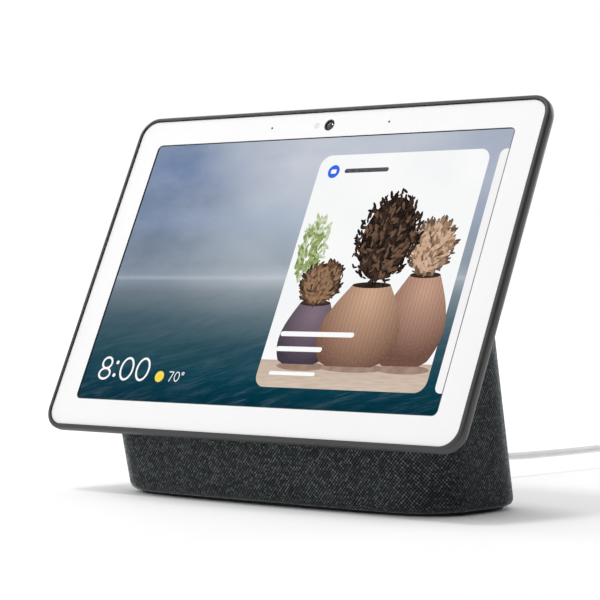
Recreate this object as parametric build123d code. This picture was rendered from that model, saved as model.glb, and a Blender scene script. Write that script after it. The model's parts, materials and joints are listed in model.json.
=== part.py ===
"""Smart display: a tilted touch screen on a fabric-covered speaker stand.

Units are millimetres.  +X is to the right seen from the front, +Y to the back and +Z up.
The origin lies on the table, under the middle of the stand's footprint.
"""
from build123d import *
from math import atan, cos, degrees, radians, sin, sqrt
import os

os.makedirs("parts", exist_ok=True)

# ---- Driving dimensions -------------------------------------------------------------------------

# Display head, in its own frame: u right, v up along the glass, z forward, glass face at z = 0
LEAN_BACK = 24.7
HEAD_CENTRE_Y = -23.0
HEAD_CENTRE_Z = 108.3
HEAD_W = 250.8
HEAD_H = 168.7
HEAD_T = 8.2
HEAD_CORNER_R = 10.7
HEAD_BACK_FILLET = 5.2
HEAD_FRONT_FILLET = 1.5
LIP_SETBACK = 0.15
REAR_WALL = 1.4
CAVITY_FILLET = 3.0
GLASS_W = 246.4
GLASS_H = 164.3
GLASS_CORNER_R = 8.5
GLASS_T = 1.0
GLASS_CHAMFER = 0.3
GLASS_GAP = 0.15
MASK_T = 0.12
MASK_GAP = 0.03
GASKET_T = 0.35
SCREEN_W = 218.3
SCREEN_H = 137.0
SCREEN_CORNER_R = 2.7
LCD_W = 222.0
LCD_H = 142.0
LCD_T = 1.2
BACKLIGHT_T = 1.8
TRAY_T = 0.4
TRAY_W = LCD_W + 2.0
TRAY_H = LCD_H + 2.0
FRAME_W = 244.4
FRAME_H = 162.7
FRAME_WINDOW_W = LCD_W + 3.0
FRAME_WINDOW_H = LCD_H + 3.0
FRAME_SHEET_T = 0.8

# Front sensors in the upper border
SENSOR_V = 75.0
CAMERA_HOLE_R = 3.0
LIGHT_SENSOR_U = -7.8
LIGHT_SENSOR_R = 1.6
MIC_U = 36.0
MIC_HOLE_R = 0.45
MIC_CASE_W = 3.5
MIC_CASE_H = 2.6

# Stand: a leaning column of oval sections, cut off by the back of the display
FOOT_H = 1.5
STAND_HALF_W = 99.7
STAND_HALF_D = 40.6
STAND_FLARE = 0.026
STAND_THINNING = -0.004
STAND_LEAN = -0.229
STAND_FRONT_R = 940.0
STAND_SIDE_R = 500.0
STAND_CORNER_R = 26.3
STAND_TOP = 172.0
SLEEVE_T = 1.2
SLEEVE_GAP = 0.2
SLEEVE_FOLD = 6.2
SLEEVE_FILLET = 3.5
FIT_GAP = 0.1
SHELL_INSET = SLEEVE_T + FIT_GAP
SHELL_WALL = 2.4
SHELL_BOTTOM = FOOT_H + SLEEVE_T + FIT_GAP
FRONT_WALL = 2.5
BASE_T = 2.4
BASE_TOP = SHELL_BOTTOM + BASE_T
FOOT_INSET = 5.0

# Screws and bosses of the stand
SCREW_R = 1.5
SCREW_CLEAR_R = 1.6
SCREW_HEAD_CLEAR_R = 2.9
BOSS_R = 3.6
BOSS_REACH = 5.6
BOSS_SETBACK = 4.6
BOSS_RIB_T = 3.0
SIDE_BOSS_LEVELS = (24.0, 66.0)
SIDE_BOSS_HALF_L = 9.0
BASE_BOSS_TOP = 16.0
BASE_SCREW_X = STAND_HALF_W - SHELL_INSET - SHELL_WALL - BOSS_SETBACK
BASE_SCREW_Y = 14.0

# Display mount inside the stand
MOUNT_V = -12.5
MOUNT_PLATE_W = 150.0
MOUNT_PLATE_H = 76.0
MOUNT_PLATE_T = 2.0
MOUNT_SCREW_U = 60.0
MOUNT_SCREW_V = 26.0
STANDOFF_H = 4.0
BOARD_W = 140.0
BOARD_H = 66.0
BOARD_T = 1.2
BOARD_SCREW_U = 64.0
BOARD_SCREW_V = 10.0
FLEX_V = -30.0
FLEX_W = 24.0
FLEX_SLOT_W = FLEX_W + 6.0
FLEX_SLOT_H = 6.0
CHIP_U = -24.0
CHIP_SIZE = 15.0
CHIP_T = 1.2
PAD_T = 0.5
CAN_SIZE = 36.0
CAN_H = 2.2
CAN_SHEET = 0.3

# Controls on the back of the head
ROCKER_U = 117.0
ROCKER_V = 35.0
ROCKER_W = 4.6
ROCKER_L = 30.0
ROCKER_PIN_Z = -6.2
PIN_R = 0.5
RUNNING_GAP = 0.05
PLUNGER_OFFSET = 11.0
SLIDER_V = 75.8
SLIDER_W = 10.0
SLIDER_H = 4.0
SLIDER_TRAVEL = 3.0
SLIDER_BAY_W = 27.0
SLIDER_BAY_H = 8.6
CONTROL_TOP = -9.0
CONTROL_BASE = -6.6
REAR_MIC_U = 30.0

# Loudspeakers
WOOFER_Z = 63.5
WOOFER_R = 37.5
WOOFER_DEPTH = 28.0
WOOFER_SETBACK = 1.0
WOOFER_SCREW = 26.8
WOOFER_FLANGE_T = 2.0
BASKET_BACK = -16.0
COIL_OUTER_R = 12.6
COIL_INNER_R = 12.0
CONE_FRONT = -3.0
CONE_BACK = -13.0
TWEETER_U = 50.0
TWEETER_Z = 20.0
TWEETER_R = 13.0
TWEETER_SETBACK = 2.2
TWEETER_BACK = -4.6
DOME_R = 9.0
DOME_RISE = 2.7

# Power input
PORT_Z = 16.0
PORT_HOLE_R = 6.6
POWER_BOARD_Y = 14.0
POWER_BOARD_Z = 8.4
POWER_BOARD_T = 1.2
JACK_H = 2 * (PORT_Z - POWER_BOARD_Z - POWER_BOARD_T)
JACK_FACE_Y = 29.5
BARREL_R = 2.75
BARREL_L = 9.5
PLUG_R = 4.5
PLUG_L = 22.0
CORD_R = 1.9
CORD_END_Y = 261.0
CORD_END_Z = 10.6
CORD_SAG_Y = 130.0
CORD_SAG_Z = 12.4

# Levels through the head, all measured back from the glass face
MASK_FRONT = -GLASS_T - MASK_GAP
MASK_BACK = MASK_FRONT - MASK_T
GASKET_BACK = MASK_BACK - GASKET_T
LCD_FRONT = GASKET_BACK + 0.1
LCD_BACK = LCD_FRONT - LCD_T
BACKLIGHT_BACK = LCD_BACK - BACKLIGHT_T
TRAY_BACK = BACKLIGHT_BACK - TRAY_T
SHEET_BACK = TRAY_BACK - FRAME_SHEET_T
REAR_INSIDE = -HEAD_T + REAR_WALL
WALL_BACK = -HEAD_T - FRONT_WALL
PLATE_BACK = WALL_BACK - MOUNT_PLATE_T
BOARD_FRONT = PLATE_BACK - STANDOFF_H
BOARD_BACK = BOARD_FRONT - BOARD_T

HEAD = Plane(
    origin=(0, HEAD_CENTRE_Y, HEAD_CENTRE_Z),
    x_dir=(1, 0, 0),
    z_dir=(0, -cos(radians(LEAN_BACK)), sin(radians(LEAN_BACK))),
)
STAND_ANGLE = degrees(atan(-STAND_LEAN))


# ---- Helpers --------------------------------------------------------------------------------------

def slab(width, height, radius, back, front, u=0.0, v=0.0):
    """Rounded plate between two z levels."""
    outline = Pos(u, v, back) * RectangleRounded(width, height, radius)
    return extrude(outline, amount=front - back)


def block(width, height, back, front, u=0.0, v=0.0):
    """Plain box between two z levels."""
    return Pos(u, v, (back + front) / 2) * Box(width, height, front - back)


def disc(radius, back, front, u=0.0, v=0.0):
    """Cylinder along z between two levels."""
    return Pos(u, v, (back + front) / 2) * Cylinder(radius, front - back)


def ring(outer_r, inner_r, back, front, u=0.0, v=0.0):
    """Flat ring or tube between two z levels."""
    hole = disc(inner_r, back - 1, front + 1, u, v)
    return disc(outer_r, back, front, u, v) - hole


def screw(u, v, head_back, head_front, shank_tip, head_r, shank_r):
    """Pan-head screw along z; its head lies between two levels and its shank ends at the tip."""
    head = disc(head_r, head_back, head_front, u, v)
    levels = sorted([(head_back + head_front) / 2, shank_tip])
    return head + disc(shank_r, levels[0], levels[1], u, v)


def corners(half_u, half_v, v=0.0):
    """The four points of a rectangle centred at height v."""
    return [(su * half_u, v + sv * half_v) for su in (-1, 1) for sv in (-1, 1)]


def in_head(shape):
    """Move a shape from the head's own frame to the frame of the whole object."""
    return HEAD.location * shape


def corner_centre(front_centre, front_reach, side_centre, side_reach):
    """Point at given distances from the centres of the front arc and of the side arc."""
    away = side_centre - front_centre
    along = (front_reach**2 - side_reach**2 + away.length**2) / (2 * away.length)
    across = sqrt(front_reach**2 - along**2)
    unit = away.normalized()
    return front_centre + unit * along + Vector(unit.Y, -unit.X) * across


def stand_section(inset, z):
    """Horizontal face of the stand at height z: an oval of eight tangent arcs, inset all round."""
    rise = z - FOOT_H
    half_w = STAND_HALF_W + STAND_FLARE * rise
    half_d = STAND_HALF_D + STAND_THINNING * rise
    front_centre = Vector(0, half_d - STAND_FRONT_R)
    side_centre = Vector(half_w - STAND_SIDE_R, 0)
    front_reach = STAND_FRONT_R - STAND_CORNER_R
    side_reach = STAND_SIDE_R - STAND_CORNER_R
    centre = corner_centre(front_centre, front_reach, side_centre, side_reach)
    towards_front = (centre - front_centre).normalized()
    towards_side = (centre - side_centre).normalized()
    radius = STAND_CORNER_R - inset
    start = centre + towards_front * radius
    middle = centre + (towards_front + towards_side).normalized() * radius
    end = centre + towards_side * radius
    right = [start, middle, end, Vector(half_w - inset, 0)]
    right += [Vector(p.X, -p.Y) for p in (end, middle, start)]
    left = [Vector(-p.X, p.Y) for p in reversed(right)]
    ring_points = right + [Vector(0, inset - half_d)] + left + [Vector(0, half_d - inset)]
    points = [p + Vector(0, STAND_LEAN * rise, z) for p in ring_points]
    count = len(points)
    arcs = [ThreePointArc(*[points[(i + k) % count] for k in range(3)]) for i in range(0, count, 2)]
    return make_face(Wire(arcs))


def column(inset, bottom, top=STAND_TOP, bottom_fillet=0.0):
    """Leaning column between two heights, with an optional fillet round its bottom edge."""
    body = loft([stand_section(inset, bottom), stand_section(inset, top)], ruled=True)
    if bottom_fillet:
        body = fillet(body.edges().group_by(Axis.Z)[0], bottom_fillet)
    return body


def behind(shape, level):
    """Keep only what lies behind a level of the head's frame."""
    return shape - in_head(block(500, 500, level, level + 400))


def rear_plane(inset, z):
    """Plane on the stand's rear face at height z, with its normal pointing out of the stand."""
    rise = z - FOOT_H
    y = STAND_HALF_D + STAND_THINNING * rise - inset + STAND_LEAN * rise
    tilt = radians(STAND_ANGLE)
    return Plane(origin=(0, y, z), x_dir=(1, 0, 0), z_dir=(0, cos(tilt), sin(tilt)))


def front_plane(x, inset, z):
    """Plane on the stand's front face at height z, with its normal pointing out of the stand."""
    rise = z - FOOT_H
    y = -STAND_HALF_D - STAND_THINNING * rise + inset + STAND_LEAN * rise
    tilt = radians(STAND_ANGLE)
    return Plane(origin=(x, y, z), x_dir=(1, 0, 0), z_dir=(0, -cos(tilt), -sin(tilt)))


def along_y(radius, start, end, x=0.0, z=0.0):
    """Cylinder parallel to Y between two Y positions."""
    return Pos(x, (start + end) / 2, z) * Rot(90, 0, 0) * Cylinder(radius, end - start)


WOOFER = rear_plane(SHELL_INSET + SHELL_WALL + WOOFER_SETBACK, WOOFER_Z)
TWEETERS = [
    front_plane(side * TWEETER_U, SHELL_INSET + SHELL_WALL + TWEETER_SETBACK, TWEETER_Z) for side in (-1, 1)
]
MOUNT_POINTS = corners(MOUNT_SCREW_U, MOUNT_SCREW_V, MOUNT_V)
BOARD_POINTS = corners(BOARD_SCREW_U, BOARD_SCREW_V, MOUNT_V)
WOOFER_POINTS = corners(WOOFER_SCREW, WOOFER_SCREW)
BASE_POINTS = corners(BASE_SCREW_X, BASE_SCREW_Y)
FRAME_POINTS = corners(117.4, 66.0) + corners(60.0, 76.9) + [(-117.4, 0.0), (0.0, -76.9)]


# ---- Display head: front stack --------------------------------------------------------------------

def front_glass():
    plate = slab(GLASS_W, GLASS_H, GLASS_CORNER_R, -GLASS_T, 0)
    plate = chamfer(plate.edges().group_by(Axis.Z)[-1], GLASS_CHAMFER)
    for side in (-1, 1):
        plate -= disc(MIC_HOLE_R, -2, 1, side * MIC_U, SENSOR_V)
    return plate


def bezel_mask():
    edge = 0.2
    sheet = slab(GLASS_W - 2 * edge, GLASS_H - 2 * edge, GLASS_CORNER_R - edge, MASK_BACK, MASK_FRONT)
    sheet -= slab(SCREEN_W, SCREEN_H, SCREEN_CORNER_R, -2, 0)
    sheet -= disc(CAMERA_HOLE_R, -2, 0, 0, SENSOR_V)
    sheet -= disc(LIGHT_SENSOR_R, -2, 0, LIGHT_SENSOR_U, SENSOR_V)
    for side in (-1, 1):
        sheet -= disc(MIC_HOLE_R + 0.15, -2, 0, side * MIC_U, SENSOR_V)
    return sheet


def sensor_window():
    return disc(LIGHT_SENSOR_R - RUNNING_GAP, MASK_BACK, MASK_FRONT, LIGHT_SENSOR_U, SENSOR_V)


def light_sensor():
    return block(2.0, 2.0, MASK_BACK - 0.75, MASK_BACK - 0.1, LIGHT_SENSOR_U, SENSOR_V)


def camera_trim_ring():
    return ring(CAMERA_HOLE_R - RUNNING_GAP, 2.2, MASK_BACK - 0.3, MASK_FRONT, 0, SENSOR_V)


def camera_lens():
    """Plano-convex front element."""
    radius = 2.1
    rise = 0.5
    ball_r = (radius**2 + rise**2) / (2 * rise)
    apex = -GLASS_T - 0.1
    ball = Pos(0, SENSOR_V, apex - ball_r) * Sphere(ball_r)
    return ball & disc(radius, apex - 0.9, apex + 0.1, 0, SENSOR_V)


def camera_module():
    body = block(8.0, 5.4, -4.3, -2.4, 0, SENSOR_V)
    return body + disc(2.6, -2.5, -2.02, 0, SENSOR_V)


def front_microphones():
    top = GASKET_BACK - 0.1
    return [block(MIC_CASE_W, MIC_CASE_H, top - 0.9, top, side * MIC_U, SENSOR_V) for side in (-1, 1)]


def display_gasket():
    band = slab(FRAME_W - 0.4, FRAME_H - 0.4, 7.8, GASKET_BACK, MASK_BACK)
    band -= slab(FRAME_WINDOW_W, FRAME_WINDOW_H, 2.0, -2, 0)
    band -= block(SLIDER_BAY_W, SLIDER_BAY_H, -2, 0, 0, SLIDER_V)
    for side in (-1, 1):
        band -= disc(1.2, -2, 0, side * MIC_U, SENSOR_V)
    return band


def lcd_panel():
    return slab(LCD_W, LCD_H, 0.8, LCD_BACK, LCD_FRONT)


def backlight_unit():
    return slab(LCD_W, LCD_H, 0.8, BACKLIGHT_BACK, LCD_BACK)


def lcd_back_tray():
    tray = slab(TRAY_W, TRAY_H, 1.6, TRAY_BACK, GASKET_BACK - 0.1)
    return tray - slab(LCD_W + 0.2, LCD_H + 0.2, 0.9, BACKLIGHT_BACK, 0)


def mid_frame():
    """Metal frame that carries the screen, the controls and the stand's mounting bosses."""
    frame = slab(FRAME_W, FRAME_H, 8.0, SHEET_BACK, GASKET_BACK)
    frame -= slab(FRAME_WINDOW_W, FRAME_WINDOW_H, 2.0, TRAY_BACK, 0)
    frame -= block(SLIDER_BAY_W, SLIDER_BAY_H, -7, 0, 0, SLIDER_V)
    frame -= block(8.2, 40.0, -4.9, -2.5, ROCKER_U + 0.3, ROCKER_V)
    frame -= block(9.8, 40.0, -7, TRAY_BACK, ROCKER_U + 0.2, ROCKER_V)
    for side in (-1, 1):
        frame -= block(4.2, 3.2, -2.8, 0, side * MIC_U, SENSOR_V)
        frame -= slab(70.0, 44.0, 6.0, -7, TRAY_BACK, side * 62.0, 48.0)
    frame -= block(FLEX_SLOT_W, FLEX_SLOT_H, -7, TRAY_BACK, 0, FLEX_V)
    for u, v in FRAME_POINTS:
        frame -= disc(1.1, -7, 0, u, v)
        frame -= disc(2.1, GASKET_BACK - 1.2, 0, u, v)
        frame -= disc(2.8, -7, TRAY_BACK, u, v)
    for u, v in MOUNT_POINTS:
        frame += disc(4.0, REAR_INSIDE, TRAY_BACK, u, v)
        frame -= disc(SCREW_R, -7, TRAY_BACK, u, v)
    return frame


def frame_screws():
    top = GASKET_BACK - 0.1
    return [screw(u, v, top - 1.1, top, REAR_INSIDE + 0.3, 2.0, 1.0) for u, v in FRAME_POINTS]


def rear_shell():
    """Rim and back cover in one piece, with slots for the slider, the rocker and the stand."""
    shell = slab(HEAD_W, HEAD_H, HEAD_CORNER_R, -HEAD_T, -LIP_SETBACK)
    shell = fillet(shell.edges().group_by(Axis.Z)[0], HEAD_BACK_FILLET)
    shell = fillet(shell.edges().group_by(Axis.Z)[-1], HEAD_FRONT_FILLET)
    gap = 2 * GLASS_GAP
    cavity = slab(GLASS_W + gap, GLASS_H + gap, GLASS_CORNER_R + GLASS_GAP, REAR_INSIDE, 1)
    shell -= fillet(cavity.edges().group_by(Axis.Z)[0], CAVITY_FILLET)
    for u, v in FRAME_POINTS:
        shell += ring(2.6, 1.0, REAR_INSIDE, TRAY_BACK, u, v)
    for side in (-1, 1):
        shell += block(1.0, 3.0, REAR_INSIDE, -5.3, ROCKER_U + side * 3.7, ROCKER_V)
    shell -= slab(ROCKER_W + 0.4, ROCKER_L + 0.6, 2.4, -10, -6.5, ROCKER_U, ROCKER_V)
    shell -= Pos(ROCKER_U, ROCKER_V, ROCKER_PIN_Z) * Rot(0, 90, 0) * Cylinder(PIN_R, 9.0)
    slot_w = SLIDER_W + SLIDER_TRAVEL + 0.4
    shell -= slab(slot_w, SLIDER_H + 0.4, 1.6, -10, -6.5, 0, SLIDER_V)
    shell -= disc(0.5, -10, -6, REAR_MIC_U, SENSOR_V)
    shell -= block(FLEX_SLOT_W, FLEX_SLOT_H, -10, -6, 0, FLEX_V)
    for u, v in MOUNT_POINTS:
        shell -= disc(SCREW_CLEAR_R, -10, -6, u, v)
    return shell


def wifi_antennas():
    top = SHEET_BACK - 0.1
    return [block(24.0, 6.0, top - 0.3, top, side * 104.0, -20.0) for side in (-1, 1)]


# ---- Display head: controls -----------------------------------------------------------------------

def volume_rocker():
    """Rounded bar with a pivot web on its inner side."""
    bar = slab(ROCKER_W, ROCKER_L, 2.2, CONTROL_TOP, CONTROL_BASE, ROCKER_U, ROCKER_V)
    bar = fillet(bar.edges().group_by(Axis.Z)[0], 0.6)
    bar += block(ROCKER_W, 3.0, CONTROL_BASE - 0.1, -5.4, ROCKER_U, ROCKER_V)
    bore = Rot(0, 90, 0) * Cylinder(PIN_R + RUNNING_GAP, 9.0)
    return bar - Pos(ROCKER_U, ROCKER_V, ROCKER_PIN_Z) * bore


def rocker_pin():
    return Pos(ROCKER_U, ROCKER_V, ROCKER_PIN_Z) * Rot(0, 90, 0) * Cylinder(PIN_R, 8.2)


def volume_switch_board():
    return block(7.8, 36.0, -3.3, -2.5, ROCKER_U + 0.3, ROCKER_V)


def volume_switches():
    switches = []
    for side in (-1, 1):
        v = ROCKER_V + side * PLUNGER_OFFSET
        case = block(4.0, 4.0, -4.4, -3.3, ROCKER_U, v)
        switches.append(case + disc(1.0, -4.9, -4.4, ROCKER_U, v))
    return switches


def plunger(side):
    """Rubber post between the rocker and one switch."""
    return disc(1.2, -6.55, -5.5, ROCKER_U, ROCKER_V + side * PLUNGER_OFFSET)


def privacy_slider():
    """Ribbed thumb slide; it rests at the left end of its slot."""
    u = -SLIDER_TRAVEL / 2
    knob = slab(SLIDER_W, SLIDER_H, 1.5, CONTROL_TOP, CONTROL_BASE, u, SLIDER_V)
    knob = fillet(knob.edges().group_by(Axis.Z)[0], 0.4)
    for i in range(-2, 3):
        knob -= block(0.5, SLIDER_H + 1, CONTROL_TOP - 1, CONTROL_TOP + 0.3, u + i * 1.4, SLIDER_V)
    return knob + block(20.0, 5.4, CONTROL_BASE - 0.1, -6.15, u, SLIDER_V)


def privacy_indicator():
    return block(2.7, 3.6, -6.75, -6.7, -SLIDER_TRAVEL / 2 - 6.65, SLIDER_V)


def slide_actuator():
    return block(2.0, 1.6, -6.15, -5.2, -SLIDER_TRAVEL / 2, SLIDER_V)


def slide_switch():
    case = block(9.0, 4.0, -5.9, -4.65, 0, SLIDER_V)
    return case - block(6.4, 2.0, -6, -5.0, 0, SLIDER_V)


def privacy_switch_board():
    return block(24.0, 6.0, -4.65, -4.35, 0, SLIDER_V)


def rear_microphone():
    return block(MIC_CASE_W, MIC_CASE_H, REAR_INSIDE + 0.05, REAR_INSIDE + 1.0, REAR_MIC_U, SENSOR_V)


# ---- Stand: covers --------------------------------------------------------------------------------

def port_cut(radius, start):
    """Space for the power port, from inside the stand out through its rear face."""
    return along_y(radius, start, 60.0, 0, PORT_Z)


def fabric_sleeve():
    """Knitted cover, folded under the shell and open towards the display."""
    outside = column(0, FOOT_H, bottom_fillet=SLEEVE_FILLET)
    inside = column(SLEEVE_T, FOOT_H + SLEEVE_T, STAND_TOP + 5, SLEEVE_FILLET - SLEEVE_T)
    sleeve = outside - inside - column(SLEEVE_FOLD, FOOT_H - 2, 20.0)
    return behind(sleeve, -HEAD_T - SLEEVE_GAP) - port_cut(PORT_HOLE_R, 20.0)


def stand_shell():
    """Whole plastic shell before it is split into its front and rear halves."""
    outside = column(SHELL_INSET, SHELL_BOTTOM, bottom_fillet=SLEEVE_FILLET - SHELL_INSET)
    inside = column(SHELL_INSET + SHELL_WALL, FOOT_H - 2)
    return behind(outside, -HEAD_T) - behind(inside, WALL_BACK)


def rear_half():
    """Space behind the leaning split plane and behind the front wall."""
    space = Rot(STAND_ANGLE, 0, 0) * Pos(0, 200, 100) * Box(400, 400, 500)
    return behind(Pos(0, 0, FOOT_H) * space, WALL_BACK)


def side_boss_points():
    """Centres of the screw bosses that join the two halves, beside the side walls."""
    points = []
    for z in SIDE_BOSS_LEVELS:
        rise = z - FOOT_H
        x = STAND_HALF_W + STAND_FLARE * rise - SHELL_INSET - SHELL_WALL - BOSS_SETBACK
        points += [(-x, STAND_LEAN * rise, z), (x, STAND_LEAN * rise, z)]
    return points


def side_boss(x, y, z, start, end):
    """Horizontal screw boss with a rib to the nearest side wall."""
    side = 1 if x > 0 else -1
    rib = Box(BOSS_REACH, end - start, BOSS_RIB_T)
    rib = Pos(x + side * BOSS_REACH / 2, y + (start + end) / 2, z) * rib
    return along_y(BOSS_R, y + start, y + end, x, z) + rib


def base_boss(x, y):
    """Post that takes a base screw, joined to the nearest side wall by a rib."""
    side = 1 if x > 0 else -1
    rib = block(BOSS_REACH, BOSS_RIB_T, BASE_TOP, BASE_BOSS_TOP, x + side * BOSS_REACH / 2, y)
    return disc(BOSS_R, BASE_TOP, BASE_BOSS_TOP, x, y) + rib


def stand_front_shell():
    half = stand_shell() - rear_half()
    for x, y, z in side_boss_points():
        half += side_boss(x, y, z, -SIDE_BOSS_HALF_L, 2) - rear_half()
        half -= along_y(SCREW_CLEAR_R, y - SIDE_BOSS_HALF_L, y + 3, x, z)
        half -= along_y(SCREW_HEAD_CLEAR_R, y - SIDE_BOSS_HALF_L - 1, y - 5, x, z)
    for side in (-1, 1):
        half += base_boss(side * BASE_SCREW_X, -BASE_SCREW_Y)
        half -= disc(SCREW_R, 0, BASE_BOSS_TOP + 1, side * BASE_SCREW_X, -BASE_SCREW_Y)
    for plane in TWEETERS:
        half -= plane.location * disc(9.6, 0.2, 12)
    half -= in_head(block(FLEX_SLOT_W, FLEX_SLOT_H, -12, -7, 0, FLEX_V))
    for u, v in MOUNT_POINTS:
        half -= in_head(disc(SCREW_CLEAR_R, -12, -7, u, v))
    return half


def stand_rear_shell():
    half = stand_shell() & rear_half()
    for x, y, z in side_boss_points():
        half += side_boss(x, y, z, -2, SIDE_BOSS_HALF_L) & rear_half()
        half -= along_y(SCREW_R, y - 3, y + SIDE_BOSS_HALF_L - 1, x, z)
    for side in (-1, 1):
        half += base_boss(side * BASE_SCREW_X, BASE_SCREW_Y)
        half -= disc(SCREW_R, 0, BASE_BOSS_TOP + 1, side * BASE_SCREW_X, BASE_SCREW_Y)
    opening = disc(34.0, 0, 12)
    for turn in (0, 60, 120):
        opening -= Rot(0, 0, turn) * block(80, 2.4, -1, 13)
    half -= WOOFER.location * opening
    for x, y in WOOFER_POINTS:
        half -= WOOFER.location * disc(1.25, -1, 2.6, x, y)
    return half - port_cut(PORT_HOLE_R, 20.0)


def shell_screws():
    screws = []
    for x, y, z in side_boss_points():
        head = along_y(2.7, y - 7, y - 5, x, z)
        screws.append(head + along_y(SCREW_R, y - 6, y + 7, x, z))
    return screws


def base_plate():
    """Weighted floor of the stand, with posts for the power board."""
    plate = column(SHELL_INSET + SHELL_WALL + 0.2, SHELL_BOTTOM, BASE_TOP)
    for x, y in BASE_POINTS:
        plate -= disc(SCREW_CLEAR_R, 0, 10, x, y)
        plate -= disc(SCREW_HEAD_CLEAR_R, 0, SHELL_BOTTOM + 1.4, x, y)
    for x, y in corners(17.0, 8.0, POWER_BOARD_Y):
        plate += disc(2.5, BASE_TOP, POWER_BOARD_Z, x, y)
    return plate


def base_screws():
    low = SHELL_BOTTOM + 0.1
    return [screw(x, y, low, low + 1.3, 13.0, 2.7, SCREW_R) for x, y in BASE_POINTS]


def rubber_foot():
    pad = column(FOOT_INSET, 0, FOOT_H)
    pad = fillet(pad.edges().group_by(Axis.Z)[0], 0.5)
    return pad + column(SLEEVE_FOLD + 0.2, FOOT_H, SHELL_BOTTOM)


# ---- Stand: display mount and electronics -----------------------------------------------------------

def mount_plate():
    plate = slab(MOUNT_PLATE_W, MOUNT_PLATE_H, 6.0, PLATE_BACK, WALL_BACK, 0, MOUNT_V)
    for u, v in BOARD_POINTS:
        plate += disc(3.0, BOARD_FRONT, PLATE_BACK, u, v)
        plate -= disc(1.25, BOARD_FRONT - 1, PLATE_BACK, u, v)
    for u, v in MOUNT_POINTS:
        plate -= disc(SCREW_CLEAR_R, PLATE_BACK - 1, 0, u, v)
    return plate - block(FLEX_SLOT_W, FLEX_SLOT_H, PLATE_BACK - 1, 0, 0, FLEX_V)


def mount_screws():
    tip = TRAY_BACK - 0.2
    return [screw(u, v, PLATE_BACK - 2, PLATE_BACK, tip, 2.75, SCREW_R) for u, v in MOUNT_POINTS]


def main_board():
    board = slab(BOARD_W, BOARD_H, 2.0, BOARD_BACK, BOARD_FRONT, 0, MOUNT_V)
    for u, v in BOARD_POINTS:
        board -= disc(1.35, -30, 0, u, v)
    return board


def board_screws():
    tip = PLATE_BACK - 0.4
    return [screw(u, v, BOARD_BACK - 1.5, BOARD_BACK, tip, 2.4, 1.25) for u, v in BOARD_POINTS]


def processor():
    return block(CHIP_SIZE, CHIP_SIZE, BOARD_BACK - CHIP_T, BOARD_BACK, CHIP_U, MOUNT_V)


def thermal_pad():
    top = BOARD_BACK - CHIP_T
    return block(CHIP_SIZE - 1, CHIP_SIZE - 1, top - PAD_T, top, CHIP_U, MOUNT_V)


def shield_can():
    can = slab(CAN_SIZE, CAN_SIZE, 1.5, BOARD_BACK - CAN_H, BOARD_BACK, CHIP_U, MOUNT_V)
    inner = CAN_SIZE - 2 * CAN_SHEET
    return can - slab(inner, inner, 1.2, BOARD_BACK - CAN_H + CAN_SHEET, 0, CHIP_U, MOUNT_V)


def display_flex():
    return block(FLEX_W, 0.3, BOARD_FRONT, TRAY_BACK, 0, FLEX_V)


# ---- Stand: loudspeakers --------------------------------------------------------------------------

def cone_shell(front_r, back_r, front, back, wall):
    """Thin conical wall between two z levels, wider at the front."""
    height = front - back
    centre = Pos(0, 0, (front + back) / 2)
    return centre * Cone(back_r, front_r, height) - centre * Cone(back_r - wall, front_r - wall, height)


def dome(radius, rise, base, wall):
    """Thin spherical cap that stands on a base level."""
    ball_r = (radius**2 + rise**2) / (2 * rise)
    centre = Pos(0, 0, base + rise - ball_r)
    return (centre * Sphere(ball_r) - centre * Sphere(ball_r - wall)) & disc(radius, base, base + rise + 1)


def woofer_basket():
    """Stamped basket with a square-cornered flange, six windows and a seat for the magnet."""
    flange = slab(66.0, 66.0, 14.0, -WOOFER_FLANGE_T, 0) + disc(WOOFER_R, -WOOFER_FLANGE_T, 0)
    basket = flange - disc(32.0, -3, 1)
    basket += cone_shell(34.6, 21.0, -WOOFER_FLANGE_T, BASKET_BACK, 1.2)
    for turn in range(0, 360, 60):
        basket -= Rot(0, 0, turn) * (Pos(28, 0, -9.5) * Box(16, 14, 7))
    basket += ring(20.5, 14.2, BASKET_BACK, BASKET_BACK + 1) + ring(21.8, 19.0, BASKET_BACK + 0.5, -14.0)
    for x, y in WOOFER_POINTS:
        basket -= disc(SCREW_CLEAR_R, -3, 1, x, y)
    return basket


def woofer_magnet():
    magnet = ring(20.0, 13.2, -19, BASKET_BACK) + ring(20.0, 15.0, -25, -19)
    return magnet + disc(20.0, -WOOFER_DEPTH, -25) + disc(11.4, -25, BASKET_BACK)


def woofer_surround():
    """Half-roll rubber ring between the cone and the flange."""
    roll = Pos(28.9, 0) * (Circle(2.9) - Circle(2.1))
    roll &= Pos(28.9, 2) * Rectangle(6, 4)
    return Pos(0, 0, -2.95) * revolve(Plane.XZ * roll, Axis.Z) + ring(32.4, 31.0, -2.9, -2.0)


def woofer_cone():
    """Paper cone with its dust cap and the neck that holds the voice coil."""
    cone = cone_shell(25.9, 12.8, CONE_FRONT, CONE_BACK, 0.6) + dome(12.3, 3.4, -12.4, 0.5)
    return cone + ring(COIL_OUTER_R, COIL_INNER_R, CONE_BACK, -12.2)


def woofer_voice_coil():
    return ring(COIL_OUTER_R, COIL_INNER_R, -22.0, CONE_BACK)


def woofer_spider():
    return ring(20.6, 12.8, -14.0, -13.6)


def woofer_screws():
    flange = -WOOFER_FLANGE_T
    return [screw(x, y, flange - 2, flange, 2.2, 2.4, 1.25) for x, y in WOOFER_POINTS]


def tweeter_frame():
    frame = disc(TWEETER_R, TWEETER_BACK, 0) - disc(DOME_R + 0.3, TWEETER_BACK + 0.3, 1)
    return frame - disc(4.0, -5, 0)


def tweeter_magnet():
    return disc(10.0, -12.0, TWEETER_BACK) - disc(3.0, TWEETER_BACK - 0.8, 0)


def tweeter_dome():
    return dome(DOME_R, DOME_RISE, -3.6, 0.3)


# ---- Stand: power input and cord --------------------------------------------------------------------

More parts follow.
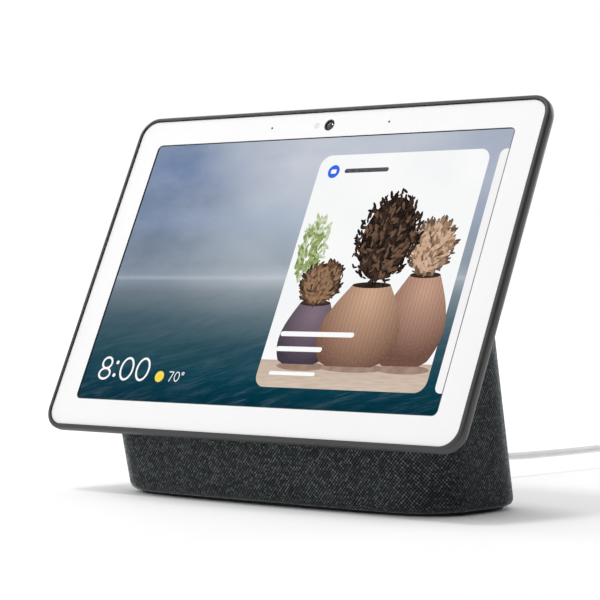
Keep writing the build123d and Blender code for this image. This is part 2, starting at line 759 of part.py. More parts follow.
def power_board():
    top = POWER_BOARD_Z + POWER_BOARD_T
    return slab(44.0, 30.0, 1.5, POWER_BOARD_Z, top, 0, POWER_BOARD_Y)


def power_jack():
    """Barrel socket with its centre pin."""
    case = Pos(0, JACK_FACE_Y - 7, PORT_Z) * Box(12.0, 14.0, JACK_H)
    case -= along_y(BARREL_R + RUNNING_GAP, JACK_FACE_Y - 10, JACK_FACE_Y + 1, 0, PORT_Z)
    return case + along_y(0.9, JACK_FACE_Y - 11, JACK_FACE_Y - 1, 0, PORT_Z)


def port_bezel():
    """Round sleeve that lines the hole in the cover and ends just proud of the fabric."""
    tube = port_cut(6.4, JACK_FACE_Y) & column(-0.4, FOOT_H, 40.0)
    flange = along_y(8.4, JACK_FACE_Y, JACK_FACE_Y + 1.8, 0, PORT_Z)
    return tube + flange - port_cut(PLUG_R + 0.4, 20.0)


def power_plug():
    """Barrel, grip and tapered strain relief."""
    start = JACK_FACE_Y + 0.1
    barrel = along_y(BARREL_R, start - BARREL_L, start, 0, PORT_Z)
    barrel -= along_y(1.0, start - BARREL_L - 1, start, 0, PORT_Z)
    grip = along_y(PLUG_R, start, start + PLUG_L, 0, PORT_Z)
    grip = fillet(grip.edges().group_by(Axis.Y)[-1], 1.2)
    taper = Pos(0, start + PLUG_L + 4, PORT_Z) * Rot(-90, 0, 0) * Cone(3.2, 2.3, 9)
    relief = barrel + grip + taper
    return relief - along_y(CORD_R, start + PLUG_L - 8, start + PLUG_L + 12, 0, PORT_Z)


def power_cord():
    """Cord that leaves the plug level, drops a little and then runs nearly level."""
    start_y = JACK_FACE_Y + PLUG_L - 7
    bend_y = start_y + 22
    lead = Line((0, start_y, PORT_Z), (0, bend_y, PORT_Z))
    sag = Spline(
        (0, bend_y, PORT_Z),
        (0, CORD_SAG_Y, CORD_SAG_Z),
        (0, CORD_END_Y, CORD_END_Z),
        tangents=[(0, 1, 0), (0, 1, -0.01)],
    )
    profile = Plane(origin=(0, start_y, PORT_Z), z_dir=(0, 1, 0)) * Circle(CORD_R)
    return sweep(profile, path=lead + sag)


# ---- Output ---------------------------------------------------------------------------------------

def placed(shapes, location):
    """Put one shape, or a group of equal pieces, in place as a single node."""
    if isinstance(shapes, list):
        return Compound(children=[location * shape for shape in shapes])
    return location * shapes


HERE = Location((0, 0, 0))
NODES = {
    HEAD.location: {
        "front_glass": front_glass(),
        "bezel_mask": bezel_mask(),
        "sensor_window": sensor_window(),
        "light_sensor": light_sensor(),
        "camera_trim_ring": camera_trim_ring(),
        "camera_lens": camera_lens(),
        "camera_module": camera_module(),
        "front_microphones": front_microphones(),
        "display_gasket": display_gasket(),
        "lcd_panel": lcd_panel(),
        "backlight_unit": backlight_unit(),
        "lcd_back_tray": lcd_back_tray(),
        "mid_frame": mid_frame(),
        "frame_screws": frame_screws(),
        "rear_shell": rear_shell(),
        "wifi_antennas": wifi_antennas(),
        "volume_rocker": volume_rocker(),
        "rocker_pin": rocker_pin(),
        "volume_switch_board": volume_switch_board(),
        "volume_switches": volume_switches(),
        "plunger_up": plunger(1),
        "plunger_down": plunger(-1),
        "privacy_slider": privacy_slider(),
        "privacy_indicator": privacy_indicator(),
        "slide_actuator": slide_actuator(),
        "slide_switch": slide_switch(),
        "privacy_switch_board": privacy_switch_board(),
        "rear_microphone": rear_microphone(),
        "mount_plate": mount_plate(),
        "mount_screws": mount_screws(),
        "main_board": main_board(),
        "board_screws": board_screws(),
        "processor": processor(),
        "thermal_pad": thermal_pad(),
        "shield_can": shield_can(),
        "display_flex": display_flex(),
    },
    HERE: {
        "fabric_sleeve": fabric_sleeve(),
        "stand_front_shell": stand_front_shell(),
        "stand_rear_shell": stand_rear_shell(),
        "shell_screws": shell_screws(),
        "base_plate": base_plate(),
        "base_screws": base_screws(),
        "rubber_foot": rubber_foot(),
        "power_board": power_board(),
        "power_jack": power_jack(),
        "port_bezel": port_bezel(),
        "power_plug": power_plug(),
        "power_cord": power_cord(),
        "tweeter_frames": [plane.location * tweeter_frame() for plane in TWEETERS],
        "tweeter_magnets": [plane.location * tweeter_magnet() for plane in TWEETERS],
        "tweeter_dome_left": TWEETERS[0].location * tweeter_dome(),
        "tweeter_dome_right": TWEETERS[1].location * tweeter_dome(),
    },
    WOOFER.location: {
        "woofer_basket": woofer_basket(),
        "woofer_magnet": woofer_magnet(),
        "woofer_surround": woofer_surround(),
        "woofer_cone": woofer_cone(),
        "woofer_voice_coil": woofer_voice_coil(),
        "woofer_spider": woofer_spider(),
        "woofer_screws": woofer_screws(),
    },
}

for location, nodes in NODES.items():
    for name, shapes in nodes.items():
        export_step(placed(shapes, location), f"parts/{name}.step")
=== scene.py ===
"""Smart display in a plain studio: materials, fabric cover, lit screen, floor, light and camera.

Lengths are in metres, except where a name ends in _MM and for everything drawn on the screen, which is
in millimetres in the head's own frame.  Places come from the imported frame.
"""

import json
import math
import random

import bmesh
import bpy
from mathutils import Matrix, Vector
from mathutils.bvhtree import BVHTree


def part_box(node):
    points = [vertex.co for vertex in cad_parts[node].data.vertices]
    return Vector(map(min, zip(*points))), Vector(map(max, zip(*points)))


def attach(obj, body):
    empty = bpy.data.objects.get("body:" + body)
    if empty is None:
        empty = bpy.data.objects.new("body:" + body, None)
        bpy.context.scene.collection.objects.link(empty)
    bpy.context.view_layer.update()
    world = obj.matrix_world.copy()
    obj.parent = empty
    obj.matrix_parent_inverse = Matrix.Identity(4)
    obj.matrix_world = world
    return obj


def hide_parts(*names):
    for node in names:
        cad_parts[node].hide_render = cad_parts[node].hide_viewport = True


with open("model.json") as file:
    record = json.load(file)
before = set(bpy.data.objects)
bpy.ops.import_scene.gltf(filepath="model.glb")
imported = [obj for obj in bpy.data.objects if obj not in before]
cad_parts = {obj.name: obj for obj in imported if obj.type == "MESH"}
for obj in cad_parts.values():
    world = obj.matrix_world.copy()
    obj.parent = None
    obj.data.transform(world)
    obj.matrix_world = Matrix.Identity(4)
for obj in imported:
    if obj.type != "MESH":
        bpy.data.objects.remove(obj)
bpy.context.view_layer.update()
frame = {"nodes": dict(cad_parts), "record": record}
MM = 0.001
BODY = "display"


# ---- The head's own frame: u right, v up along the glass, n out of the glass ----------------------

def joint_axis(name):
    """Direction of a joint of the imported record."""
    for joint in frame["record"]["behaviour"]["joints"]:
        if joint["name"] == name:
            return Vector(joint["axis"]).normalized()
    raise ValueError(name)


LCD_LOW, LCD_HIGH = (Vector(corner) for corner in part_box("lcd_panel"))
# Levels against the outside of the glass: the panel's lit face and the middle of its thickness
LCD_LEVEL_MM = -1.4
LCD_MIDDLE_MM = -2.0
NORMAL = joint_axis("plunger_up_travel")
UPWARD = NORMAL.cross(Vector((1, 0, 0)))
CENTRE = (LCD_LOW + LCD_HIGH) / 2 - NORMAL * LCD_MIDDLE_MM * MM
HEAD = Matrix.Translation(CENTRE) @ Matrix((Vector((1, 0, 0)), UPWARD, NORMAL)).transposed().to_4x4()


def on_head(u, v, n=0.0):
    """Point in the object's frame from millimetres in the head's frame."""
    return HEAD @ Vector((u * MM, v * MM, n * MM))


# ---- Material tools -------------------------------------------------------------------------------

def linear(red, green, blue):
    """Scene-linear colour from the usual 0 to 255 screen values."""
    def channel(value):
        value /= 255
        return value / 12.92 if value <= 0.04045 else ((value + 0.055) / 1.055) ** 2.4
    return (channel(red), channel(green), channel(blue), 1.0)


def shaded(colour, factor):
    """The same colour made darker or lighter."""
    return tuple(min(1.0, c * factor) for c in colour[:3]) + (1.0,)


class Graph:
    """A material's node tree with short calls for the nodes used here."""

    def __init__(self, name):
        self.material = bpy.data.materials.new(name)
        self.material.use_nodes = True
        self.tree = self.material.node_tree
        self.tree.nodes.clear()

    def add(self, kind, inputs=None, **settings):
        node = self.tree.nodes.new("ShaderNode" + kind)
        for key, value in settings.items():
            setattr(node, key, value)
        for key, value in (inputs or {}).items():
            socket = node.inputs[key]
            if isinstance(value, bpy.types.NodeSocket):
                self.tree.links.new(value, socket)
            else:
                socket.default_value = value
        return node

    def place(self):
        """Position on the object in metres."""
        return self.add("TexCoord").outputs["Object"]

    def uv(self):
        return self.add("TexCoord").outputs["UV"]

    def split(self, vector):
        return self.add("SeparateXYZ", {0: vector}).outputs

    def join(self, x=0.0, y=0.0, z=0.0):
        return self.add("CombineXYZ", {0: x, 1: y, 2: z}).outputs[0]

    def stretch(self, vector, x, y, z):
        return self.add("Mapping", {"Vector": vector, "Scale": (x, y, z)}).outputs[0]

    def math(self, operation, a, b=0.0, clamp=False):
        return self.add("Math", {0: a, 1: b}, operation=operation, use_clamp=clamp).outputs[0]

    def cosine(self, value, rate):
        return self.math("COSINE", self.math("MULTIPLY", value, rate))

    def noise(self, vector, scale, detail=3.0, roughness=0.5):
        inputs = {"Vector": vector, "Scale": scale, "Detail": detail, "Roughness": roughness}
        return self.add("TexNoise", inputs).outputs["Fac"]

    def cells(self, vector):
        """One random value per whole-number cell."""
        return self.add("TexWhiteNoise", {"Vector": vector}, noise_dimensions="3D").outputs["Value"]

    def ramp(self, value, stops):
        node = self.add("ValToRGB", {"Fac": value})
        band = node.color_ramp
        while len(band.elements) < len(stops):
            band.elements.new(0.5)
        for element, (position, colour) in zip(band.elements, stops):
            element.position = position
            element.color = colour
        return node.outputs["Color"]

    def mix(self, factor, a, b, blend="MIX"):
        node = self.add("Mix", data_type="RGBA", blend_type=blend)
        for index, value in ((0, factor), (6, a), (7, b)):
            if isinstance(value, bpy.types.NodeSocket):
                self.tree.links.new(value, node.inputs[index])
            else:
                node.inputs[index].default_value = value
        return node.outputs[2]

    def span(self, value, low, high, to_low=0.0, to_high=1.0):
        inputs = {"Value": value, "From Min": low, "From Max": high, "To Min": to_low, "To Max": to_high}
        return self.add("MapRange", inputs).outputs[0]

    def bump(self, height, distance, strength=1.0):
        inputs = {"Height": height, "Distance": distance, "Strength": strength}
        return self.add("Bump", inputs).outputs[0]

    def surface(self, shader):
        self.add("OutputMaterial", {"Surface": shader})
        return self.material

    def principled(self, **inputs):
        names = {key.replace("_", " "): value for key, value in inputs.items()}
        return self.surface(self.add("BsdfPrincipled", names).outputs[0])


MATERIALS = {}


def material(name, maker, *values):
    """Make each named material once."""
    if name not in MATERIALS:
        MATERIALS[name] = maker(name, *values)
    return MATERIALS[name]


# ---- Materials of the CAD nodes -------------------------------------------------------------------

MOTTLE = 0.12


def moulded(name, colour, roughness=0.45, grain=0.00025, depth=0.00001):
    """Moulded plastic or rubber: fine spark-eroded grain, slight mottling and uneven gloss."""
    g = Graph(name)
    place = g.place()
    fine = g.noise(place, 1 / grain, 2.0, 0.6)
    broad = g.noise(place, 60.0, 4.0, 0.55)
    darker = shaded(colour, 1 - MOTTLE)
    lighter = shaded(colour, 1 + MOTTLE)
    tint = g.mix(g.span(broad, 0.3, 0.7), darker, lighter)
    speckle = g.mix(g.span(fine, 0.35, 0.65, 0.0, 0.35), tint, lighter)
    gloss = g.span(broad, 0.3, 0.7, roughness - 0.05, roughness + 0.06)
    return g.principled(Base_Color=speckle, Roughness=gloss, Normal=g.bump(fine, depth, 0.6))


def metal(name, colour, roughness=0.35, brush=(1.0, 1.0, 14.0), depth=0.00001):
    """Brushed or cast metal: streaks drawn out along one axis and a patchy sheen."""
    g = Graph(name)
    place = g.place()
    streaks = g.noise(g.stretch(place, *brush), 900.0, 3.0, 0.6)
    patches = g.noise(place, 45.0, 4.0, 0.6)
    tint = g.mix(g.span(patches, 0.3, 0.7, 0.0, 0.35), colour, shaded(colour, 0.7))
    gloss = g.span(streaks, 0.3, 0.7, roughness - 0.08, roughness + 0.12)
    return g.principled(
        Base_Color=tint, Metallic=1.0, Roughness=gloss, Normal=g.bump(streaks, depth, 0.5)
    )


def border_ink(name, colour):
    """White ink behind the glass, with a trace of unevenness."""
    g = Graph(name)
    haze = g.noise(g.place(), 25.0, 3.0, 0.5)
    tint = g.mix(g.span(haze, 0.3, 0.7, 0.0, 0.3), colour, shaded(colour, 0.96))
    return g.principled(Base_Color=tint, Roughness=0.35, Specular_IOR_Level=0.2)


def cover_glass(name):
    """Clear glass: the layers behind show through, under a faint, slightly uneven reflection."""
    g = Graph(name)
    smear = g.noise(g.place(), 40.0, 5.0, 0.6)
    gloss = g.add("BsdfGlossy", {"Color": (1, 1, 1, 1), "Roughness": g.span(smear, 0.3, 0.7, 0.02, 0.09)})
    clear = g.add("BsdfTransparent", {"Color": (1, 1, 1, 1)})
    mirror = g.add("Fresnel", {"IOR": 1.12}).outputs[0]
    outside = g.math("SUBTRACT", 1.0, g.add("NewGeometry").outputs["Backfacing"])
    amount = g.math("MULTIPLY", g.math("MULTIPLY", mirror, outside), 0.25)
    both = g.add("MixShader", {0: amount, 1: clear.outputs[0], 2: gloss.outputs[0]})
    return g.surface(both.outputs[0])


def lens_glass(name):
    """Dark coated lens, with the coating's violet reflection painted into its colour towards grazing angles.
    """
    g = Graph(name)
    # Painted reflection: the colour turns from near-black to violet towards grazing angles
    facing = g.add("LayerWeight", {"Blend": 0.35}).outputs["Facing"]
    tint = g.mix(facing, linear(14, 14, 20), linear(70, 62, 96))
    wear = g.noise(g.place(), 3000.0, 2.0)
    return g.principled(
        Base_Color=tint, Roughness=g.span(wear, 0.3, 0.7, 0.03, 0.08), Coat_Weight=1.0, Coat_Roughness=0.02
    )


def circuit_board(name):
    """Green solder mask over a maze of copper tracks."""
    g = Graph(name)
    place = g.place()
    tracks = g.add("TexBrick", {
        "Vector": place, "Color1": linear(18, 66, 44), "Color2": linear(22, 78, 52),
        "Mortar": linear(52, 116, 70), "Scale": 420.0, "Mortar Size": 0.03,
    }).outputs["Color"]
    pads = g.cells(g.stretch(place, 500.0, 500.0, 500.0))
    tint = g.mix(g.math("GREATER_THAN", pads, 0.985), tracks, linear(190, 170, 120))
    return g.principled(Base_Color=tint, Roughness=0.35, Coat_Weight=0.4)


def woven(name, colour, pitch=0.0006):
    """Plain-woven technical cloth."""
    g = Graph(name)
    x, y, z = g.split(g.place())
    angle = 2 * math.pi / pitch
    warp = g.math("SINE", g.math("MULTIPLY", g.math("ADD", x, y), angle))
    weft = g.math("SINE", g.math("MULTIPLY", g.math("SUBTRACT", z, y), angle))
    knots = g.math("MULTIPLY", warp, weft)
    tint = g.mix(g.span(knots, -1.0, 1.0), shaded(colour, 0.6), colour)
    return g.principled(Base_Color=tint, Roughness=0.85, Normal=g.bump(knots, 0.00004))


def cord_jacket(name, colour):
    """Soft white cord with a faint lengthwise grain."""
    g = Graph(name)
    place = g.place()
    streaks = g.noise(g.stretch(place, 1.0, 0.06, 1.0), 2600.0, 3.0, 0.6)
    dust = g.noise(place, 110.0, 4.0, 0.6)
    tint = g.mix(g.span(dust, 0.35, 0.7, 0.0, 0.25), colour, linear(196, 195, 193))
    return g.principled(
        Base_Color=tint, Roughness=0.42, Normal=g.bump(streaks, 0.00001), Subsurface_Weight=0.05
    )


SLOT_MAKERS = {
    "cover_glass": (cover_glass,),
    "white_border": (border_ink, linear(241, 241, 241)),
    "sensor_tint": (border_ink, linear(222, 222, 222)),
    "black_component": (moulded, linear(26, 26, 28), 0.5),
    "black_plastic": (moulded, linear(34, 34, 36), 0.55),
    "lens_glass": (lens_glass,),
    "metal_can": (metal, linear(196, 196, 192), 0.3),
    "foam": (moulded, linear(30, 30, 30), 0.9, 0.0004, 0.00005),
    "screen": (moulded, linear(7, 8, 10), 0.3, 0.0005, 0.0),
    "backlight": (moulded, linear(226, 226, 222), 0.5),
    "pressed_steel": (metal, linear(168, 168, 170), 0.34),
    "cast_aluminium": (metal, linear(176, 178, 180), 0.48, (1.0, 1.0, 1.0), 0.00002),
    "screw_steel": (metal, linear(150, 150, 154), 0.3),
    "charcoal_plastic": (moulded, linear(54, 54, 55), 0.46, 0.00022, 0.000012),
    "flex_film": (moulded, linear(176, 96, 34), 0.3),
    "charcoal_button": (moulded, linear(40, 40, 41), 0.4, 0.00022, 0.000012),
    "circuit_board": (circuit_board,),
    "soft_rubber": (moulded, linear(40, 40, 42), 0.75),
    "orange_paint": (moulded, linear(226, 104, 34), 0.4),
    "plate_aluminium": (metal, linear(200, 202, 204), 0.3),
    "charcoal_fabric": (woven, linear(48, 50, 54)),
    "weight_steel": (metal, linear(96, 96, 100), 0.45),
    "foot_rubber": (moulded, linear(36, 36, 38), 0.75),
    "white_plastic": (moulded, linear(232, 232, 230), 0.4),
    "white_cord": (cord_jacket, linear(232, 232, 232)),
    "magnet_metal": (metal, linear(74, 74, 78), 0.5),
    "dome_silk": (woven, linear(44, 44, 46), 0.0004),
    "cone_material": (woven, linear(52, 52, 56), 0.0012),
    "copper": (metal, linear(196, 116, 70), 0.3),
    "spider_fabric": (woven, linear(196, 168, 104), 0.0009),
}


def dress_cad_nodes():
    """Give each CAD node the material of its slot."""
    for entry in frame["record"]["subparts"]:
        slot = entry["material_slot"]
        maker, *values = SLOT_MAKERS[slot]
        node = frame["nodes"][entry["node"]]
        node.data.materials.clear()
        node.data.materials.append(material(slot, maker, *values))


# ---- Mesh tools -----------------------------------------------------------------------------------

def new_object(name, mesh, look):
    """Link a mesh as a new piece that rides with the display."""
    piece = bpy.data.objects.new(name, mesh)
    bpy.context.collection.objects.link(piece)
    mesh.materials.append(look)
    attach(piece, BODY)
    return piece


SHEET_T_MM = 0.008


def flat_piece(name, outlines, level_mm, look):
    """Thin closed plates on the screen from outlines in the head's frame; the UV is in millimetres."""
    mesh = bpy.data.meshes.new(name)
    shape = bmesh.new()
    layer = shape.loops.layers.uv.new("millimetres")
    for outline in outlines:
        bottom = [shape.verts.new(on_head(u, v, level_mm - SHEET_T_MM)) for u, v in outline]
        top = [shape.verts.new(on_head(u, v, level_mm)) for u, v in outline]
        faces = [shape.faces.new(top), shape.faces.new(list(reversed(bottom)))]
        for i in range(len(outline)):
            k = (i + 1) % len(outline)
            faces.append(shape.faces.new((bottom[i], bottom[k], top[k], top[i])))
        places = dict(zip(bottom + top, list(outline) * 2))
        for face in faces:
            for loop in face.loops:
                loop[layer].uv = places[loop.vert]
    bmesh.ops.recalc_face_normals(shape, faces=shape.faces)
    shape.to_mesh(mesh)
    shape.free()
    return new_object(name, mesh, look)


CORNER_STEPS = 10


def rounded_box(left, right, bottom, top, radius, corners=(1, 1, 1, 1)):
    """Outline of a rectangle.

    corners says which are round: right top, left top, left bottom, right bottom.
    """
    points = []
    centres = [(right, top, -1, -1), (left, top, 1, -1), (left, bottom, 1, 1), (right, bottom, -1, 1)]
    for index, (x, y, dx, dy) in enumerate(centres):
        if not corners[index]:
            points.append((x, y))
            continue
        for i in range(CORNER_STEPS + 1):
            angle = math.pi / 2 * (index + i / CORNER_STEPS)
            points.append((x + radius * (dx + math.cos(angle)), y + radius * (dy + math.sin(angle))))
    return points


def ellipse(u, v, half_u, half_v, steps=40, turn=0.0):
    """Outline of an ellipse, turned by an angle."""
    points = []
    for i in range(steps):
        angle = 2 * math.pi * i / steps
        x, y = half_u * math.cos(angle), half_v * math.sin(angle)
        across = x * math.cos(turn) - y * math.sin(turn)
        up = x * math.sin(turn) + y * math.cos(turn)
        points.append((u + across, v + up))
    return points


def stroke(points, width, closed=False):
    """Quads that follow a line of points with a given width."""
    count = len(points)
    quads = []
    sides = []
    for i, (x, y) in enumerate(points):
        before = points[i - 1] if closed or i else points[i]
        after = points[(i + 1) % count] if closed or i < count - 1 else points[i]
        along = Vector((after[0] - before[0], after[1] - before[1])).normalized()
        across = Vector((-along.y, along.x)) * width / 2
        sides.append(((x + across.x, y + across.y), (x - across.x, y - across.y)))
    for i in range(count if closed else count - 1):
        k = (i + 1) % count
        quads.append([sides[i][0], sides[i][1], sides[k][1], sides[k][0]])
    return quads


# ---- The lit picture ------------------------------------------------------------------------------

WINDOW_W_MM = 218.3
WINDOW_H_MM = 137.0
WINDOW_CORNER_MM = 2.7
WINDOW_LINE_W_MM = 0.3
WINDOW_LINE_LEVEL_MM = -1.012
PICTURE_W_MM = 217.2
PICTURE_H_MM = 136.4
PICTURE_CORNER_MM = 1.8
PICTURE_LEVEL_MM = LCD_LEVEL_MM + 0.03
CARD_LEVEL_MM = PICTURE_LEVEL_MM + 0.02
HORIZON_V_MM = -5.0


def glow(g, colour):
    """Surface that shines with a colour, as a lit screen does."""
    return g.surface(g.add("Emission", {"Color": colour, "Strength": 1.0}).outputs[0])


def sea_and_sky(name):
    """Misty sky over a calm sea: two upright colour ramps blended across, with cloud and ripples."""
    g = Graph(name)
    u, v, _ = g.split(g.uv())
    height = g.span(v, -PICTURE_H_MM / 2, PICTURE_H_MM / 2)
    left = g.ramp(height, [
        (0.00, linear(4, 46, 62)), (0.10, linear(22, 64, 80)), (0.21, linear(44, 78, 90)),
        (0.32, linear(70, 94, 106)), (0.415, linear(110, 123, 133)), (0.465, linear(136, 149, 163)),
        (0.52, linear(118, 131, 148)), (0.61, linear(112, 127, 147)), (0.69, linear(120, 137, 165)),
        (0.76, linear(112, 129, 157)), (0.90, linear(108, 129, 166)), (1.00, linear(122, 139, 166)),
    ])
    right = g.ramp(height, [
        (0.00, linear(2, 48, 63)), (0.10, linear(10, 63, 78)), (0.21, linear(44, 78, 92)),
        (0.32, linear(94, 114, 123)), (0.415, linear(143, 153, 161)), (0.465, linear(180, 187, 196)),
        (0.52, linear(158, 168, 178)), (0.61, linear(163, 174, 187)), (0.69, linear(172, 183, 200)),
        (0.76, linear(186, 193, 206)), (0.90, linear(197, 202, 212)), (1.00, linear(194, 200, 211)),
    ])
    mist = g.noise(g.stretch(g.uv(), 0.6, 1.0, 1.0), 0.035, 4.0, 0.5)
    reach = {"Value": u, "From Min": -100.0, "From Max": -5.0}
    brighter = g.add("MapRange", reach, interpolation_type="SMOOTHSTEP").outputs[0]
    fade = g.span(u, 20.0, 108.0, 0.0, 0.45)
    drift = g.span(mist, 0.3, 0.7, -0.16, 0.16)
    blend = g.math("ADD", g.math("SUBTRACT", brighter, fade), drift, clamp=True)
    base = g.mix(blend, left, right)
    cloud = g.noise(g.stretch(g.uv(), 0.5, 1.0, 1.0), 0.06, 5.0, 0.6)
    sky = g.mix(g.span(cloud, 0.40, 0.75, 0.0, 0.16), base, linear(206, 212, 222))
    depth = g.math("SUBTRACT", HORIZON_V_MM, v)
    nearness = g.span(depth, 0.0, 62.0, 0.12, 1.0)
    along = g.math("ADD", u, g.math("MULTIPLY", v, 0.3))
    across = g.math("SUBTRACT", v, g.math("MULTIPLY", u, 0.3))
    slant = g.join(along, across)
    swell = g.noise(g.stretch(slant, 0.03, 0.22, 1.0), 1.0, 3.0, 0.6)
    ripple = g.noise(g.stretch(slant, 0.10, 1.5, 1.0), 1.0, 4.0, 0.7)
    waves = g.math("ADD", g.math("MULTIPLY", swell, 0.45), g.math("MULTIPLY", ripple, 0.55))
    light = g.math("MULTIPLY", g.span(waves, 0.5, 0.68, 0.0, 0.16), nearness)
    crest = g.mix(light, base, linear(150, 172, 184))
    shade = g.math("MULTIPLY", g.span(waves, 0.34, 0.5, 0.45, 0.0), nearness)
    sea = g.mix(shade, crest, linear(0, 34, 52))
    whole = g.mix(g.span(v, HORIZON_V_MM - 0.6, HORIZON_V_MM + 0.6), sea, sky)
    line = g.math("ABSOLUTE", g.math("SUBTRACT", v, HORIZON_V_MM + 0.7))
    shine = g.mix(g.span(line, 0.0, 1.6, 0.28, 0.0), whole, linear(196, 204, 214))
    return glow(g, shine)


def flat_glow(name, colour, other, scale):
    """Nearly even lit colour with a soft drift towards a second one."""
    g = Graph(name)
    drift = g.noise(g.uv(), scale, 3.0, 0.5)
    return glow(g, g.mix(g.span(drift, 0.35, 0.65), colour, other))


def table_wood(name):
    """Pale wood with long grain."""
    g = Graph(name)
    grain = g.noise(g.stretch(g.uv(), 0.10, 1.6, 1.0), 1.0, 5.0, 0.6)
    _, v, _ = g.split(g.uv())
    tone = g.mix(g.span(grain, 0.3, 0.7), linear(196, 176, 158), linear(220, 203, 188))
    return glow(g, g.mix(g.span(v, -59.0, -45.0, 0.0, 0.35), tone, linear(176, 152, 136)))


def rounded_glow(name, centre_u, centre_v, reach, dark, light, pitch):
    """Lit picture of a round knitted body: light at one side, dark towards its edge."""
    g = Graph(name)
    u, v, _ = g.split(g.uv())
    across = g.math("DIVIDE", g.math("SUBTRACT", u, centre_u + reach * 0.25), reach)
    along = g.math("DIVIDE", g.math("SUBTRACT", v, centre_v + reach * 0.3), reach * 1.2)
    away = g.math("SQRT", g.math("ADD", g.math("MULTIPLY", across, across), g.math("MULTIPLY", along, along)))
    tone = g.mix(g.span(away, 0.1, 1.25), light, dark)
    angle = 2 * math.pi / pitch
    rows = g.math("SINE", g.math("MULTIPLY", v, angle))
    swayed = g.math("ADD", u, g.math("MULTIPLY", rows, 0.25 * pitch))
    columns = g.math("SINE", g.math("MULTIPLY", swayed, angle))
    knit = g.math("MULTIPLY", columns, rows)
    tone = g.mix(g.span(knit, -1.0, 1.0, 0.35, 0.0), tone, dark)
    flecks = g.noise(g.uv(), 0.9, 3.0, 0.7)
    return glow(g, g.mix(g.span(flecks, 0.5, 0.75, 0.0, 0.2), tone, light))


LEAF_SLIMNESS = 0.34


def foliage(seed, root, centre, reach, count, length):
    """Outlines of leaves scattered in an ellipse; each one points away from the root."""
    rng = random.Random(seed)
    leaves = []
    for _ in range(count):
        angle = rng.uniform(0, 2 * math.pi)
        away = math.sqrt(rng.uniform(0.0, 1.0))
        u = centre[0] + reach[0] * away * math.cos(angle)
        v = centre[1] + reach[1] * away * math.sin(angle)
        turn = math.atan2(v - root[1], u - root[0]) + rng.gauss(0, 0.55)
        size = length * rng.uniform(0.6, 1.25)
        leaves.append(ellipse(u, v, size / 2, size / 2 * LEAF_SLIMNESS, 9, turn))
    return leaves


POT_STEPS = 36


def pot(u, bottom, top, foot, belly, neck):
    """Smooth outline of a pot from its half-widths at the foot, the belly and the neck."""
    half = []
    for i in range(POT_STEPS + 1):
        t = i / POT_STEPS
        swell = math.sin(math.pi * t ** 0.85)
        width = foot * (1 - t) + neck * t + (belly - (foot + neck) / 2) * swell
        soft = min(1.0, 0.82 + 3.2 * t)
        half.append((width * soft, bottom + (top - bottom) * t))
    return [(u + w, v) for w, v in half] + [(u - w, v) for w, v in reversed(half)]


# Left, right, bottom and top of each card
CARD = (1.7, 99.2, -58.5, 58.7)
NEXT_CARD = (104.3, PICTURE_W_MM / 2, -58.2, 58.3)
CARD_CORNER_MM = 6.0
NEXT_CARD_CORNER_MM = 3.0
TABLE_V_MM = -45.2
SHEET_STEP_MM = 0.010


class Card:
    """Stack of thin sheets: each new one lies just above the last."""

    def __init__(self, level):
        self.level = level

    def add(self, name, outlines, look):
        flat_piece(name, outlines, self.level, look)
        self.level += SHEET_STEP_MM

    def tone(self, name, outlines, dark, light, scale=0.5):
        self.add(name, outlines, material(name, flat_glow, linear(*dark), linear(*light), scale))


PLANTS = [
    # name, seed, root, centre, reach, leaf length, then dark, middle and light tones
    ("left_plant", 11, (24.0, -17.0), (24.0, -7.0), (12.0, 11.5), 3.7,
     ((48, 38, 34), (74, 56, 44)), ((86, 64, 48), (116, 88, 66)), ((128, 98, 74), (160, 128, 100))),
    ("right_plant", 12, (81.0, -3.0), (81.5, 11.0), (12.5, 14.5), 4.0,
     ((88, 70, 58), (118, 94, 76)), ((140, 112, 92), (172, 140, 116)), ((190, 156, 130), (216, 184, 158))),
    ("middle_plant", 13, (53.0, -8.0), (55.0, 15.0), (18.5, 24.0), 4.2,
     ((24, 19, 18), (42, 32, 28)), ((48, 36, 31), (72, 54, 44)), ((84, 64, 52), (120, 92, 74))),
]
POTS = [
    # name, outline as in pot(), light at u, v and its reach, then dark tone, light tone and knit pitch
    ("left_pot", (24.0, -47.0, -17.0, 11.0, 15.5, 9.0), (21.0, -27.0, 17.0),
     (66, 56, 70), (136, 118, 130), 1.5),
    ("right_pot", (82.0, -46.5, -3.0, 12.0, 18.0, 8.5), (79.0, -16.0, 22.0),
     (110, 78, 68), (206, 164, 142), 2.0),
    ("middle_pot", (53.5, -47.5, -8.0, 15.5, 22.5, 11.0), (48.0, -20.0, 25.0),
     (112, 80, 66), (214, 174, 146), 2.2),
]
# Count of leaves and share of the plant's reach, for its back, middle and front layer
LEAF_LAYERS = ((260, 1.0), (190, 0.92), (90, 0.8))
# Left, right, bottom, top and corner radius of each blank bar
WORD_BARS = ((9.0, 52.0, -33.6, -31.2, 1.2), (9.0, 36.0, -41.0, -38.6, 1.2), (9.0, 36.0, -52.6, -50.8, 0.9))


